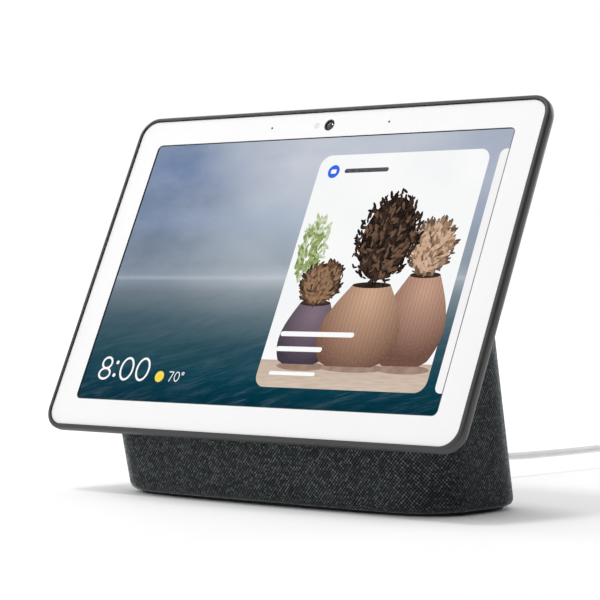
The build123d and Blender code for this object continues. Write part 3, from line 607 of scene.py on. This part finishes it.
def message_card():
    """White card with plants in knitted pots on a pale table, and blank bars in place of words."""
    left, right, bottom, top = CARD
    card = Card(CARD_LEVEL_MM)
    white = material("card_white", flat_glow, linear(250, 250, 250), linear(245, 246, 247), 0.03)
    card.add("message_card", [rounded_box(left, right, bottom, top, CARD_CORNER_MM)], white)
    strip = rounded_box(*NEXT_CARD, NEXT_CARD_CORNER_MM, (0, 1, 1, 0))
    card.tone("next_card", [strip], (248, 246, 247), (243, 242, 244), 0.03)
    far = foliage(3, (10.0, -16.0), (12.5, 11.0), (8.2, 17.0), 110, 4.8)
    card.tone("card_far_leaves", far, (166, 184, 134), (214, 220, 196))
    near = foliage(4, (10.0, -16.0), (11.5, 8.0), (6.8, 14.0), 70, 4.6)
    card.tone("card_near_leaves", near, (110, 130, 74), (166, 182, 124))
    table = rounded_box(left, right, bottom, TABLE_V_MM, CARD_CORNER_MM, (0, 0, 1, 1))
    card.add("card_table", [table], material("card_table", table_wood))
    shadows = [ellipse(u, -48.0, reach, 2.2, 40) for u, reach in ((26.0, 14.0), (55.5, 19.0), (84.0, 14.5))]
    card.tone("card_pot_shadows", shadows, (150, 124, 108), (168, 142, 126), 0.2)
    for name, shape, (u, v, reach), dark, light, pitch in POTS:
        look = material("card_" + name, rounded_glow, u, v, reach, linear(*dark), linear(*light), pitch)
        card.add("card_" + name, [pot(*shape)], look)
        centre, mouth, neck = shape[0], shape[2], shape[5]
        opening = ellipse(centre, mouth, neck, 1.5, 36)
        card.tone(f"card_{name}_mouth", [opening], (38, 30, 28), (60, 48, 42))
    for name, seed, root, centre, reach, length, dark, middle, light in PLANTS:
        mass = ellipse(centre[0], centre[1], reach[0] * 0.8, reach[1] * 0.86, 40)
        card.tone(f"card_{name}_mass", [mass], dark[0], dark[1], 0.4)
        for layer, tones in enumerate((dark, middle, light)):
            count, shrink = LEAF_LAYERS[layer]
            spread = (reach[0] * shrink, reach[1] * shrink)
            leaves = foliage(seed * 10 + layer, root, centre, spread, count, length)
            card.tone(f"card_{name}_{layer}", leaves, tones[0], tones[1])
    card.tone("card_bars", [rounded_box(*bar) for bar in WORD_BARS], (252, 252, 252), (250, 250, 250))
    card.tone("card_dot", [ellipse(11.4, 50.0, 3.4, 3.4, 36)], (46, 100, 226), (56, 110, 236))
    mark = rounded_box(9.8, 13.0, 48.9, 51.1, 0.6)
    card.tone("card_dot_mark", [mark], (250, 250, 250), (250, 250, 250))
    title = rounded_box(18.0, 44.0, 49.0, 51.2, 1.1)
    card.tone("card_title_bar", [title], (70, 73, 78), (92, 95, 100))


CLOCK_LEFT_MM = -99.7
CLOCK_BASE_MM = -58.4
CLOCK_HEIGHT_MM = 12.2
CLOCK_STROKE_MM = 1.15
DEGREES_LEFT_MM = -52.8
DEGREES_BASE_MM = -57.9
DEGREES_HEIGHT_MM = 5.1
DEGREES_STROKE_MM = 0.5
SUN_U_MM = -58.5
SUN_V_MM = -55.6
SUN_R_MM = 2.8


def digit_zero(left, base, height, width, line):
    """A tall oval."""
    centre_u, centre_v = left + width / 2, base + height / 2
    return stroke(ellipse(centre_u, centre_v, (width - line) / 2, (height - line) / 2, 48), line, True)


def digit_eight(left, base, height, width, line):
    """Two ovals, the lower one larger."""
    centre = left + width / 2
    half_w = (width - line) / 2
    low = height * 0.54
    lower = ellipse(centre, base + low / 2, half_w, (low - line) / 2, 40)
    upper_h = height - low + line
    upper = ellipse(centre, base + low - line + upper_h / 2, half_w * 0.86, (upper_h - line) / 2, 40)
    return stroke(lower, line, True) + stroke(upper, line, True)


def clock_and_weather():
    """The hour in thin numerals, a sun, and the temperature."""
    height, line = CLOCK_HEIGHT_MM, CLOCK_STROKE_MM
    base = CLOCK_BASE_MM
    quads = digit_eight(CLOCK_LEFT_MM, base, height, 8.2, line)
    for left in (CLOCK_LEFT_MM + 13.7, CLOCK_LEFT_MM + 24.4):
        quads += digit_zero(left, base, height, 9.0, line)
    for v in (base + 2.6, base + 9.2):
        quads.append(ellipse(CLOCK_LEFT_MM + 10.9, v, 1.0, 1.0, 20))
    white = material("numerals", flat_glow, linear(252, 252, 252), linear(246, 248, 250), 0.2)
    flat_piece("clock_numerals", quads, CARD_LEVEL_MM, white)
    small, thin = DEGREES_HEIGHT_MM, DEGREES_STROKE_MM
    left, low = DEGREES_LEFT_MM, DEGREES_BASE_MM
    bar = low + small - thin / 2
    seven = [(left, bar), (left + 2.9, bar), (left + 1.1, low)]
    quads = stroke(seven[:2], thin) + stroke(seven[1:], thin)
    quads += digit_zero(left + 3.8, low, small, 3.4, thin)
    quads += stroke(ellipse(left + 8.9, low + small - 0.9, 0.65, 0.65, 20), 0.42, True)
    flat_piece("temperature_numerals", quads, CARD_LEVEL_MM, white)
    sun = material("sun_yellow", flat_glow, linear(250, 214, 66), linear(252, 222, 96), 0.6)
    flat_piece("weather_sun", [ellipse(SUN_U_MM, SUN_V_MM, SUN_R_MM, SUN_R_MM, 40)], CARD_LEVEL_MM, sun)


def window_line():
    """Thin dark line round the window in the white border."""
    half_w, half_h = WINDOW_W_MM / 2, WINDOW_H_MM / 2
    outline = rounded_box(-half_w, half_w, -half_h, half_h, WINDOW_CORNER_MM)
    dark = material("window_line", flat_glow, linear(96, 98, 100), linear(84, 86, 88), 0.2)
    flat_piece("window_line", stroke(outline, WINDOW_LINE_W_MM, True), WINDOW_LINE_LEVEL_MM, dark)


def lit_screen():
    """The picture and everything drawn over it."""
    window_line()
    half_w, half_h = PICTURE_W_MM / 2, PICTURE_H_MM / 2
    outline = rounded_box(-half_w, half_w, -half_h, half_h, PICTURE_CORNER_MM)
    flat_piece("screen_picture", [outline], PICTURE_LEVEL_MM, material("sea_and_sky", sea_and_sky))
    message_card()
    clock_and_weather()


# ---- Fabric cover ---------------------------------------------------------------------------------

LOOP_W = 1.7 * MM
LOOP_H = 0.94 * MM
FABRIC_T = 1.0 * MM
FOLD_DEPTH = 6.0 * MM
EDGE_R = 4.0 * MM
TUCK_R = 1.0 * MM
COLUMNS = 288
WALL_ROWS = 56
ARC_STEPS = 5
TUCK_STEPS = 3
HEAD_BACK_MM = -8.4
# The CAD cover is measured by rays from outside, to one side of the port's hole and on its straight
# wall, at these heights above its bottom edge
RAY_START = 1.0
PROBE_X = 0.013
AXIS_PROBES = (0.006, 0.026)
WALL_PROBES = (0.005, 0.025)
# The height at which a column meets the back of the head is found by halving the range below this
HIGHEST_TOP = 0.2
BISECTIONS = 40
# Row of points, on the straight wall, whose length is shared out into loops
MEASURED_ROW = 8
PORT_HOLE_R = 6.5 * MM
PORT_CUTTER_L = 0.05


def knit_cloth(name):
    """Charcoal melange knit: staggered loops, each with its own shade, around small dark eyes.

    A painted sheen lightens it where it is seen at a grazing angle, more on its lighter strands, for the
    light that stray fibres catch.
    """
    g = Graph(name)
    u, v, _ = g.split(g.uv())
    drift = g.noise(g.stretch(g.uv(), 0.3, 0.3, 1.0), 1.0, 2.0, 0.5)
    u = g.math("ADD", u, g.span(drift, 0.3, 0.7, -0.16, 0.16))
    waves = g.math("MULTIPLY", g.cosine(u, 2 * math.pi), g.cosine(v, math.pi))
    row = g.math("FLOOR", g.math("ADD", v, 0.5))
    odd = g.math("MODULO", row, 2.0)
    column = g.math("FLOOR", g.math("ADD", u, g.math("MULTIPLY", odd, 0.5)))
    lean = g.math("SUBTRACT", 1.0, g.math("MULTIPLY", odd, 2.0))
    across = g.math("SUBTRACT", u, g.math("MULTIPLY", g.math("MULTIPLY", v, lean), 0.4))
    strand = g.join(g.math("MULTIPLY", across, 5.0), g.math("MULTIPLY", v, 1.2), row)
    fibre = g.noise(strand, 1.0, 3.0, 0.7)
    shade = g.cells(g.join(column, row, 0.5))
    tone = g.math("ADD", g.math("MULTIPLY", shade, 0.38), g.math("MULTIPLY", fibre, 0.62))
    yarn = g.ramp(tone, [
        (0.20, linear(36, 38, 39)), (0.38, linear(54, 57, 58)), (0.54, linear(76, 80, 81)),
        (0.68, linear(100, 105, 106)), (0.84, linear(136, 142, 144)),
    ])
    hue = g.cells(g.join(column, row, 7.5))
    tinted = g.mix(1.0, yarn, g.mix(hue, (0.92, 1.02, 1.03, 1), (1.03, 0.99, 1.0, 1)), "MULTIPLY")
    loops = g.mix(g.span(waves, -0.35, 0.45), tinted, linear(4, 4, 5))
    patches = g.noise(g.stretch(g.uv(), 1.7, 0.94, 1.0), 0.05, 4.0, 0.6)
    worn = g.mix(g.span(patches, 0.35, 0.7, 0.0, 0.08), loops, linear(92, 96, 98))
    # Painted sheen: the base colour turns light grey towards grazing angles, more on the lighter strands
    grazing = g.add("LayerWeight", {"Blend": 0.5}).outputs["Facing"]
    sheen_by_tone = g.span(tone, 0.35, 0.65, 0.15, 1.0)
    painted_sheen = g.math("MULTIPLY", g.span(grazing, 0.62, 0.98, 0.0, 0.95), sheen_by_tone)
    with_painted_sheen = g.mix(painted_sheen, worn, linear(176, 184, 188))
    relief = g.math("SUBTRACT", g.math("MULTIPLY", fibre, 0.5), waves)
    return g.principled(
        Base_Color=with_painted_sheen, Roughness=0.95, Specular_IOR_Level=0.15, Normal=g.bump(relief, 0.00016, 0.9),
        Sheen_Weight=0.35, Sheen_Roughness=0.3, Sheen_Tint=linear(222, 228, 234),
    )


def cover_surface():
    """Functions of the CAD cover: its leaning axis and the distance out to its surface."""
    cad = frame["nodes"]["fabric_sleeve"]
    points = [cad.matrix_world @ vertex.co for vertex in cad.data.vertices]
    faces = [tuple(face.vertices) for face in cad.data.polygons]
    tree = BVHTree.FromPolygons(points, faces)
    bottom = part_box("fabric_sleeve")[0][2]

    def middle(z):
        """Centre of the cover front to back at a height below the screen."""
        ends = []
        for side in (-1, 1):
            hit = tree.ray_cast(Vector((PROBE_X, side * RAY_START, z)), Vector((0, -side, 0)))[0]
            ends.append(hit.y)
        return sum(ends) / 2

    first, second = (bottom + height for height in AXIS_PROBES)
    lean = (middle(second) - middle(first)) / (second - first)
    start = middle(first) - lean * (first - bottom)

    def axis(z):
        return Vector((0.0, start + lean * (z - bottom), z))

    def outward(angle):
        return Vector((math.cos(angle), math.sin(angle), 0.0))

    def radius(angle, z):
        hit = tree.ray_cast(axis(z) + outward(angle) * RAY_START, -outward(angle))[0]
        return (hit - axis(z)).length

    return bottom, axis, outward, radius


def clear_of_head(point):
    """True where a point still lies behind the back of the head."""
    return (point - CENTRE).dot(NORMAL) < HEAD_BACK_MM * MM


def cover_column(angle, bottom, axis, outward, radius):
    """Points from the fold under the stand up to the tuck behind the screen, at one angle."""
    near, far = (bottom + height for height in WALL_PROBES)
    r_near, r_far = radius(angle, near), radius(angle, far)
    slope = (r_far - r_near) / (far - near)

    def wall(z, inset=0.0):
        return axis(z) + outward(angle) * (r_near + slope * (z - near) - inset)

    points = [wall(bottom, FOLD_DEPTH), wall(bottom, (FOLD_DEPTH + EDGE_R) / 2)]
    for i in range(ARC_STEPS):
        turn = math.pi / 2 * i / ARC_STEPS
        points.append(wall(bottom + EDGE_R * (1 - math.cos(turn)), EDGE_R * (1 - math.sin(turn))))
    start = bottom + EDGE_R
    top, above = start, bottom + HIGHEST_TOP
    for _ in range(BISECTIONS):
        half = (top + above) / 2
        if clear_of_head(wall(half)):
            top = half
        else:
            above = half
    for i in range(WALL_ROWS):
        points.append(wall(start + (top - TUCK_R - start) * i / (WALL_ROWS - 1)))
    for i in range(1, TUCK_STEPS + 1):
        turn = math.pi / 2 * i / TUCK_STEPS
        points.append(wall(top - TUCK_R * (1 - math.sin(turn)), TUCK_R * (1 - math.cos(turn))))
    return points


def fabric_cover():
    """Knitted cover as one closed sheet with thickness, with a UV that counts loops and rows."""
    bottom, axis, outward, radius = cover_surface()
    grid = [cover_column(2 * math.pi * i / COLUMNS, bottom, axis, outward, radius) for i in range(COLUMNS)]
    rows = len(grid[0])
    lengths = [0.0]
    for i in range(COLUMNS):
        side = grid[(i + 1) % COLUMNS][MEASURED_ROW] - grid[i][MEASURED_ROW]
        lengths.append(lengths[-1] + side.length)
    heights = []
    for column in grid:
        climb = [0.0]
        for a, b in zip(column, column[1:]):
            climb.append(climb[-1] + (b - a).length)
        heights.append(climb)
    total = round(lengths[-1] / LOOP_W)
    mesh = bpy.data.meshes.new("fabric_cover")
    shape = bmesh.new()
    layer = shape.loops.layers.uv.new("loops")
    verts = [[shape.verts.new(point) for point in column] for column in grid]
    for i in range(COLUMNS):
        k = (i + 1) % COLUMNS
        left, right = lengths[i] / lengths[-1] * total, lengths[i + 1] / lengths[-1] * total
        for j in range(rows - 1):
            face = shape.faces.new((verts[i][j], verts[k][j], verts[k][j + 1], verts[i][j + 1]))
            face.smooth = True
            near, far = heights[i], heights[k]
            corners = ((left, near[j]), (right, far[j]), (right, far[j + 1]), (left, near[j + 1]))
            for loop, (across, climb) in zip(face.loops, corners):
                loop[layer].uv = (across, climb / LOOP_H)
    bmesh.ops.recalc_face_normals(shape, faces=shape.faces)
    shape.to_mesh(mesh)
    shape.free()
    cover = new_object("fabric_cover", mesh, material("knit_cloth", knit_cloth))
    thicken = cover.modifiers.new("thickness", "SOLIDIFY")
    thicken.thickness = FABRIC_T
    thicken.offset = -1
    cut_port_hole(cover)
    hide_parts("fabric_sleeve")


def cut_port_hole(cover):
    """Round hole in the cover for the power port's bezel."""
    low, high = (Vector(corner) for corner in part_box("port_bezel"))
    centre = (low + high) / 2
    bpy.ops.mesh.primitive_cylinder_add(
        vertices=48, radius=PORT_HOLE_R, depth=PORT_CUTTER_L, location=centre, rotation=(math.pi / 2, 0, 0)
    )
    cutter = bpy.context.object
    cut = cover.modifiers.new("port", "BOOLEAN")
    cut.operation = "DIFFERENCE"
    cut.solver = "EXACT"
    cut.object = cutter
    bpy.context.view_layer.objects.active = cover
    cover.select_set(True)
    for modifier in ("thickness", "port"):
        bpy.ops.object.modifier_apply(modifier=modifier)
    bpy.data.objects.remove(cutter, do_unlink=True)


# ---- Studio ---------------------------------------------------------------------------------------

CAMERA_AZIMUTH = 40.415
CAMERA_PITCH = -0.063
CAMERA_ROLL = 0.155
CAMERA_LENS_MM = 134.75
CAMERA_FROM_GLASS = Vector((0.6806, -0.7807, -0.0069))
CAMERA_SHIFT = (-0.0170, -0.0242)
WORLD_LIGHT = 0.8
FLOOR_SIZE = 12.0
FLAG_SIZE = 1.6
FLAG_PLACE = (0.8, -0.1, 0.79)


def studio_floor():
    """Plain white floor with a painted glow that brightens it away from the stand and runs out into the
    surroundings.
    """
    bpy.ops.mesh.primitive_plane_add(size=FLOOR_SIZE, location=(0, 0, 0))
    floor = bpy.context.object
    floor.name = "studio_floor"
    g = Graph("studio_floor")
    grain = g.noise(g.place(), 3.0, 3.0, 0.5)
    white = g.mix(g.span(grain, 0.3, 0.7), (0.93, 0.93, 0.93, 1), (0.95, 0.95, 0.95, 1))
    paint = g.add("BsdfPrincipled", {"Base Color": white, "Roughness": 0.6, "Specular IOR Level": 0.1})
    light = g.add("Emission", {"Color": (1, 1, 1, 1), "Strength": 1.2})
    # Painted glow: it shines fully far away, and a little from just past an oval round the stand, which
    # lightens the cast shadows there; close to the stand it has no glow, so the contact shadow keeps its
    # depth
    away = g.add("VectorMath", {0: g.place()}, operation="LENGTH").outputs["Value"]
    oval = g.stretch(g.place(), 10.0, 24.0, 0.0)
    clear = g.add("VectorMath", {0: oval}, operation="LENGTH").outputs["Value"]
    painted_glow_share = g.math("MAXIMUM", g.span(away, 0.35, 0.7), g.span(clear, 1.0, 1.6, 0.0, 0.30))
    both = g.add("MixShader", {0: painted_glow_share, 1: paint.outputs[0], 2: light.outputs[0]})
    floor.data.materials.append(g.surface(both.outputs[0]))


def studio_world():
    """Even white surroundings, seen a little brighter than they light the object."""
    world = bpy.data.worlds.new("studio")
    world.use_nodes = True
    nodes, links = world.node_tree.nodes, world.node_tree.links
    strength = nodes.new("ShaderNodeMapRange")
    strength.inputs["To Min"].default_value = WORLD_LIGHT
    strength.inputs["To Max"].default_value = 1.0
    links.new(nodes.new("ShaderNodeLightPath").outputs["Is Camera Ray"], strength.inputs["Value"])
    background = nodes["Background"]
    background.inputs["Color"].default_value = (1, 1, 1, 1)
    links.new(strength.outputs[0], background.inputs["Strength"])
    bpy.context.scene.world = world


def softbox(name, place, target, size, power):
    """Rectangular area light that faces a target."""
    light = bpy.data.lights.new(name, "AREA")
    light.shape = "RECTANGLE"
    light.size, light.size_y = size
    light.energy = power
    lamp = bpy.data.objects.new(name, light)
    lamp.location = place
    lamp.rotation_euler = (Vector(target) - Vector(place)).to_track_quat("-Z", "Y").to_euler()
    bpy.context.collection.objects.link(lamp)


def studio_lights():
    """A small light overhead in front, a broad one at the left and a low one behind."""
    softbox("key_light", (-0.15, -1.0, 2.0), (0, 0, 0), (0.4, 0.4), 17.0)
    softbox("left_softbox", (-1.6, 0.2, 1.4), (0, 0, 0.08), (1.4, 1.4), 6.0)
    softbox("back_softbox", (0.15, 1.7, 0.42), (0, 0, 0.08), (0.6, 0.6), 6.0)


def studio_flag():
    """Black card beyond the right side that keeps that side dark; the camera doesn't see it."""
    bpy.ops.mesh.primitive_plane_add(size=FLAG_SIZE, location=FLAG_PLACE, rotation=(0, math.pi / 2, 0))
    flag = bpy.context.object
    flag.name = "studio_flag"
    flag.data.materials.append(material("studio_flag", moulded, linear(12, 12, 12), 0.9))
    flag.visible_camera = False


def studio_camera():
    """Camera level with the middle of the screen, to the right of its front."""
    data = bpy.data.cameras.new("camera")
    data.lens = CAMERA_LENS_MM
    data.sensor_width = 36.0
    data.shift_x, data.shift_y = CAMERA_SHIFT
    camera = bpy.data.objects.new("camera", data)
    turn = Matrix.Rotation(math.radians(CAMERA_AZIMUTH), 4, "Z")
    tip = Matrix.Rotation(math.radians(90 + CAMERA_PITCH), 4, "X")
    roll = Matrix.Rotation(math.radians(CAMERA_ROLL), 4, "Z")
    camera.matrix_world = Matrix.Translation(CENTRE + CAMERA_FROM_GLASS) @ turn @ tip @ roll
    bpy.context.collection.objects.link(camera)
    bpy.context.scene.camera = camera


def studio():
    studio_floor()
    studio_world()
    studio_lights()
    studio_flag()
    studio_camera()
    bpy.context.scene.view_settings.view_transform = "Standard"


dress_cad_nodes()
lit_screen()
fabric_cover()
studio()
